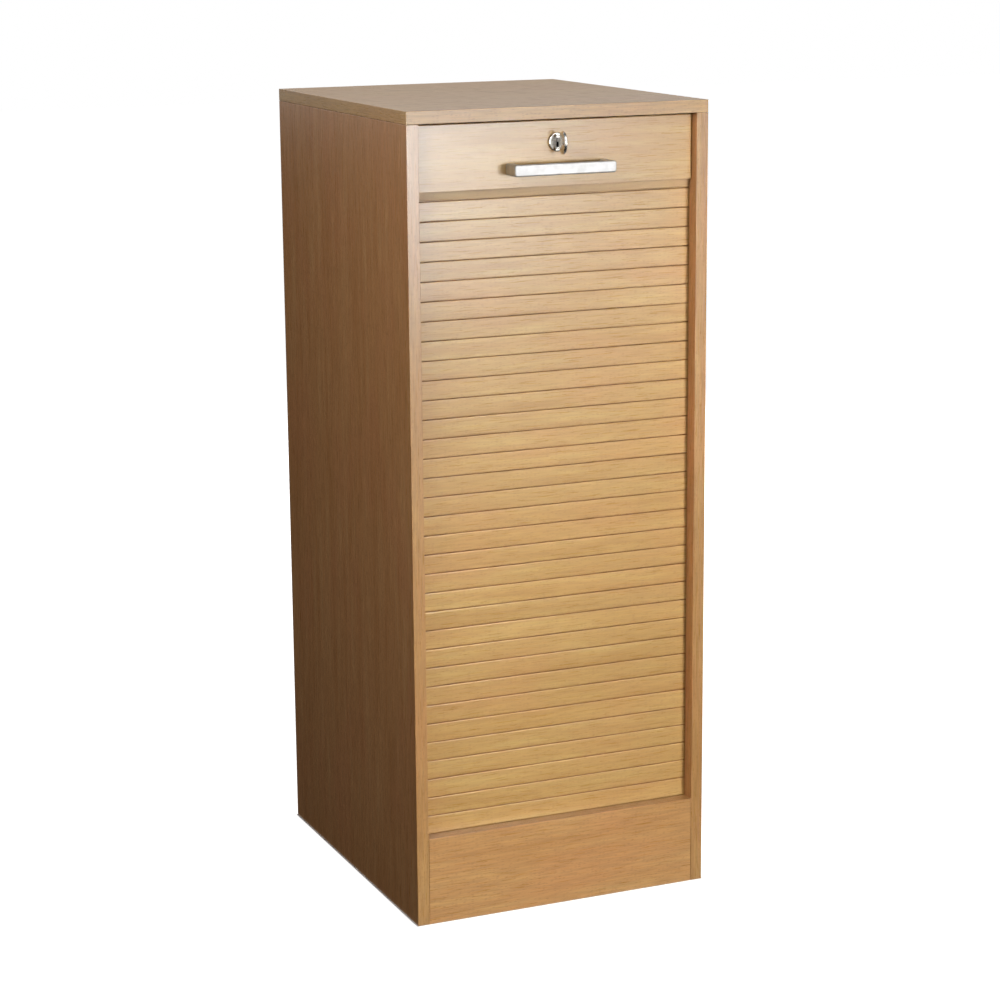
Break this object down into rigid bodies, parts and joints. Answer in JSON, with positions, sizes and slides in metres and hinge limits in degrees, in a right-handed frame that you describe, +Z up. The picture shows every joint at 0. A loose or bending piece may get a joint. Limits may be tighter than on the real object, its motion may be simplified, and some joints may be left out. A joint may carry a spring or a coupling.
{
  "type": "tambour filing cabinet",
  "caption": "Tall narrow filing cabinet in beech laminate with a slatted tambour shutter that slides down behind a plinth, a bar handle, a cam lock with key, and shelves inside.",
  "frame": {"origin": "on the floor, in the middle of the width and midway between the back and the foremost point of the handle and key", "axes": "+Z up, the front faces -Y, +X to the right seen from the front"},
  "size_m": [0.41, 0.486, 1.04],
  "materials": {
    "beech_laminate": "beech-effect laminate, satin",
    "beech_slat": "beech-effect foil on slats, satin",
    "hardboard": "thin hardboard, matt",
    "satin_metal": "satin silver",
    "lock_chrome": "polished nickel",
    "zinc_steel": "zinc plated"
  },
  "bodies": {
    "cabinet": {"top_panel": "beech_laminate", "left_side_panel": "beech_laminate", "right_side_panel": "beech_laminate", "bottom_panel": "beech_laminate", "plinth_board": "beech_laminate", "back_panel": "hardboard", "false_back_panel": "hardboard", "shelf_1": "beech_laminate", "shelf_2": "beech_laminate", "shelf_1_pin_front_left": "zinc_steel", "shelf_1_pin_front_right": "zinc_steel", "shelf_1_pin_back_left": "zinc_steel", "shelf_1_pin_back_right": "zinc_steel", "shelf_2_pin_front_left": "zinc_steel", "shelf_2_pin_front_right": "zinc_steel", "shelf_2_pin_back_left": "zinc_steel", "shelf_2_pin_back_right": "zinc_steel", "strike_bracket": "zinc_steel"},
    "lead_rail": {"lead_rail": "beech_laminate", "handle": "satin_metal", "handle_screw_left": "zinc_steel", "handle_screw_right": "zinc_steel", "lock_housing": "lock_chrome", "lock_nut": "zinc_steel"},
    "slat_01": {"slat_01": "beech_slat"},
    "slat_02": {"slat_02": "beech_slat"},
    "slat_03": {"slat_03": "beech_slat"},
    "slat_04": {"slat_04": "beech_slat"},
    "slat_05": {"slat_05": "beech_slat"},
    "slat_06": {"slat_06": "beech_slat"},
    "slat_07": {"slat_07": "beech_slat"},
    "slat_08": {"slat_08": "beech_slat"},
    "slat_09": {"slat_09": "beech_slat"},
    "slat_10": {"slat_10": "beech_slat"},
    "slat_11": {"slat_11": "beech_slat"},
    "slat_12": {"slat_12": "beech_slat"},
    "slat_13": {"slat_13": "beech_slat"},
    "slat_14": {"slat_14": "beech_slat"},
    "slat_15": {"slat_15": "beech_slat"},
    "slat_16": {"slat_16": "beech_slat"},
    "slat_17": {"slat_17": "beech_slat"},
    "slat_18": {"slat_18": "beech_slat"},
    "slat_19": {"slat_19": "beech_slat"},
    "slat_20": {"slat_20": "beech_slat"},
    "slat_21": {"slat_21": "beech_slat"},
    "slat_22": {"slat_22": "beech_slat"},
    "slat_23": {"slat_23": "beech_slat"},
    "slat_24": {"slat_24": "beech_slat"},
    "slat_25": {"slat_25": "beech_slat"},
    "slat_26": {"slat_26": "beech_slat"},
    "slat_27": {"slat_27": "beech_slat"},
    "slat_28": {"slat_28": "beech_slat"},
    "slat_29": {"slat_29": "beech_slat"},
    "slat_30": {"slat_30": "beech_slat"},
    "slat_31": {"slat_31": "beech_slat"},
    "slat_32": {"slat_32": "beech_slat"},
    "slat_33": {"slat_33": "beech_slat"},
    "lock_plug": {"lock_plug": "lock_chrome", "lock_cam": "zinc_steel"},
    "key": {"key": "lock_chrome"}
  },
  "joints": [
    {"name": "rail_slide", "type": "slide", "parent": "cabinet", "child": "lead_rail", "axis": [0, 0, -1], "range_m": [0, 0.8235], "deforming": ["slat_01", "slat_02", "slat_03", "slat_04", "slat_05", "slat_06", "slat_07", "slat_08", "slat_09", "slat_10", "slat_11", "slat_12", "slat_13", "slat_14", "slat_15", "slat_16", "slat_17", "slat_18", "slat_19", "slat_20", "slat_21", "slat_22", "slat_23", "slat_24", "slat_25", "slat_26", "slat_27", "slat_28", "slat_29", "slat_30", "slat_31", "slat_32", "slat_33"]},
    {"name": "slat_01_slide", "type": "slide", "parent": "cabinet", "child": "slat_01", "axis": [0, 0, -1], "range_m": [0, 0.80031]},
    {"name": "slat_02_slide", "type": "slide", "parent": "cabinet", "child": "slat_02", "axis": [0, 0, -1], "range_m": [0, 0.77712]},
    {"name": "slat_03_slide", "type": "slide", "parent": "cabinet", "child": "slat_03", "axis": [0, 0, -1], "range_m": [0, 0.75393]},
    {"name": "slat_04_slide", "type": "slide", "parent": "cabinet", "child": "slat_04", "axis": [0, 0, -1], "range_m": [0, 0.73074]},
    {"name": "slat_05_slide", "type": "slide", "parent": "cabinet", "child": "slat_05", "axis": [0, 0, -1], "range_m": [0, 0.70755]},
    {"name": "slat_06_slide", "type": "slide", "parent": "cabinet", "child": "slat_06", "axis": [0, 0, -1], "range_m": [0, 0.68436]},
    {"name": "slat_07_slide", "type": "slide", "parent": "cabinet", "child": "slat_07", "axis": [0, 0, -1], "range_m": [0, 0.66117]},
    {"name": "slat_08_slide", "type": "slide", "parent": "cabinet", "child": "slat_08", "axis": [0, 0, -1], "range_m": [0, 0.63798]},
    {"name": "slat_09_slide", "type": "slide", "parent": "cabinet", "child": "slat_09", "axis": [0, 0, -1], "range_m": [0, 0.61479]},
    {"name": "slat_10_slide", "type": "slide", "parent": "cabinet", "child": "slat_10", "axis": [0, 0, -1], "range_m": [0, 0.5916]},
    {"name": "slat_11_slide", "type": "slide", "parent": "cabinet", "child": "slat_11", "axis": [0, 0, -1], "range_m": [0, 0.56841]},
    {"name": "slat_12_slide", "type": "slide", "parent": "cabinet", "child": "slat_12", "axis": [0, 0, -1], "range_m": [0, 0.54522]},
    {"name": "slat_13_slide", "type": "slide", "parent": "cabinet", "child": "slat_13", "axis": [0, 0, -1], "range_m": [0, 0.52203]},
    {"name": "slat_14_slide", "type": "slide", "parent": "cabinet", "child": "slat_14", "axis": [0, 0, -1], "range_m": [0, 0.49884]},
    {"name": "slat_15_slide", "type": "slide", "parent": "cabinet", "child": "slat_15", "axis": [0, 0, -1], "range_m": [0, 0.47565]},
    {"name": "slat_16_slide", "type": "slide", "parent": "cabinet", "child": "slat_16", "axis": [0, 0, -1], "range_m": [0, 0.45246]},
    {"name": "slat_17_slide", "type": "slide", "parent": "cabinet", "child": "slat_17", "axis": [0, 0, -1], "range_m": [0, 0.42927]},
    {"name": "slat_18_slide", "type": "slide", "parent": "cabinet", "child": "slat_18", "axis": [0, 0, -1], "range_m": [0, 0.40608]},
    {"name": "slat_19_slide", "type": "slide", "parent": "cabinet", "child": "slat_19", "axis": [0, 0, -1], "range_m": [0, 0.38288]},
    {"name": "slat_20_slide", "type": "slide", "parent": "cabinet", "child": "slat_20", "axis": [0, 0, -1], "range_m": [0, 0.3597]},
    {"name": "slat_21_slide", "type": "slide", "parent": "cabinet", "child": "slat_21", "axis": [0, 0, -1], "range_m": [0, 0.3365]},
    {"name": "slat_22_slide", "type": "slide", "parent": "cabinet", "child": "slat_22", "axis": [0, 0, -1], "range_m": [0, 0.31331]},
    {"name": "slat_23_slide", "type": "slide", "parent": "cabinet", "child": "slat_23", "axis": [0, 0, -1], "range_m": [0, 0.29013]},
    {"name": "slat_24_slide", "type": "slide", "parent": "cabinet", "child": "slat_24", "axis": [0, 0, -1], "range_m": [0, 0.26693]},
    {"name": "slat_25_slide", "type": "slide", "parent": "cabinet", "child": "slat_25", "axis": [0, 0, -1], "range_m": [0, 0.24374]},
    {"name": "slat_26_slide", "type": "slide", "parent": "cabinet", "child": "slat_26", "axis": [0, 0, -1], "range_m": [0, 0.22055]},
    {"name": "slat_27_slide", "type": "slide", "parent": "cabinet", "child": "slat_27", "axis": [0, 0, -1], "range_m": [0, 0.19736]},
    {"name": "slat_28_slide", "type": "slide", "parent": "cabinet", "child": "slat_28", "axis": [0, 0, -1], "range_m": [0, 0.17417]},
    {"name": "slat_29_slide", "type": "slide", "parent": "cabinet", "child": "slat_29", "axis": [0, 0, -1], "range_m": [0, 0.15098]},
    {"name": "slat_30_slide", "type": "slide", "parent": "cabinet", "child": "slat_30", "axis": [0, 0, -1], "range_m": [0, 0.12779]},
    {"name": "slat_31_slide", "type": "slide", "parent": "cabinet", "child": "slat_31", "axis": [0, 0, -1], "range_m": [0, 0.1046]},
    {"name": "slat_32_slide", "type": "slide", "parent": "cabinet", "child": "slat_32", "axis": [0, 0, -1], "range_m": [0, 0.08141]},
    {"name": "slat_33_slide", "type": "slide", "parent": "cabinet", "child": "slat_33", "axis": [0, 0, -1], "range_m": [0, 0.05822]},
    {"name": "lock_turn", "type": "hinge", "parent": "lead_rail", "child": "lock_plug", "pos_m": [0, -0.214, 0.9946], "axis": [0, 1, 0], "range_deg": [0, 90]},
    {"name": "key_pull", "type": "slide", "parent": "lock_plug", "child": "key", "axis": [0, -1, 0], "range_m": [0, 0.022]}
  ],
  "couplings": [
    {"joint": "slat_01_slide", "follows": "rail_slide", "ratio": 0.97184},
    {"joint": "slat_02_slide", "follows": "rail_slide", "ratio": 0.94368},
    {"joint": "slat_03_slide", "follows": "rail_slide", "ratio": 0.91552},
    {"joint": "slat_04_slide", "follows": "rail_slide", "ratio": 0.88736},
    {"joint": "slat_05_slide", "follows": "rail_slide", "ratio": 0.8592},
    {"joint": "slat_06_slide", "follows": "rail_slide", "ratio": 0.83104},
    {"joint": "slat_07_slide", "follows": "rail_slide", "ratio": 0.80288},
    {"joint": "slat_08_slide", "follows": "rail_slide", "ratio": 0.77472},
    {"joint": "slat_09_slide", "follows": "rail_slide", "ratio": 0.74655},
    {"joint": "slat_10_slide", "follows": "rail_slide", "ratio": 0.71839},
    {"joint": "slat_11_slide", "follows": "rail_slide", "ratio": 0.69023},
    {"joint": "slat_12_slide", "follows": "rail_slide", "ratio": 0.66207},
    {"joint": "slat_13_slide", "follows": "rail_slide", "ratio": 0.63391},
    {"joint": "slat_14_slide", "follows": "rail_slide", "ratio": 0.60575},
    {"joint": "slat_15_slide", "follows": "rail_slide", "ratio": 0.57759},
    {"joint": "slat_16_slide", "follows": "rail_slide", "ratio": 0.54943},
    {"joint": "slat_17_slide", "follows": "rail_slide", "ratio": 0.52127},
    {"joint": "slat_18_slide", "follows": "rail_slide", "ratio": 0.49311},
    {"joint": "slat_19_slide", "follows": "rail_slide", "ratio": 0.46495},
    {"joint": "slat_20_slide", "follows": "rail_slide", "ratio": 0.43679},
    {"joint": "slat_21_slide", "follows": "rail_slide", "ratio": 0.40863},
    {"joint": "slat_22_slide", "follows": "rail_slide", "ratio": 0.38046},
    {"joint": "slat_23_slide", "follows": "rail_slide", "ratio": 0.3523},
    {"joint": "slat_24_slide", "follows": "rail_slide", "ratio": 0.32414},
    {"joint": "slat_25_slide", "follows": "rail_slide", "ratio": 0.29598},
    {"joint": "slat_26_slide", "follows": "rail_slide", "ratio": 0.26782},
    {"joint": "slat_27_slide", "follows": "rail_slide", "ratio": 0.23966},
    {"joint": "slat_28_slide", "follows": "rail_slide", "ratio": 0.2115},
    {"joint": "slat_29_slide", "follows": "rail_slide", "ratio": 0.18334},
    {"joint": "slat_30_slide", "follows": "rail_slide", "ratio": 0.15518},
    {"joint": "slat_31_slide", "follows": "rail_slide", "ratio": 0.12702},
    {"joint": "slat_32_slide", "follows": "rail_slide", "ratio": 0.098859},
    {"joint": "slat_33_slide", "follows": "rail_slide", "ratio": 0.070698}
  ]
}
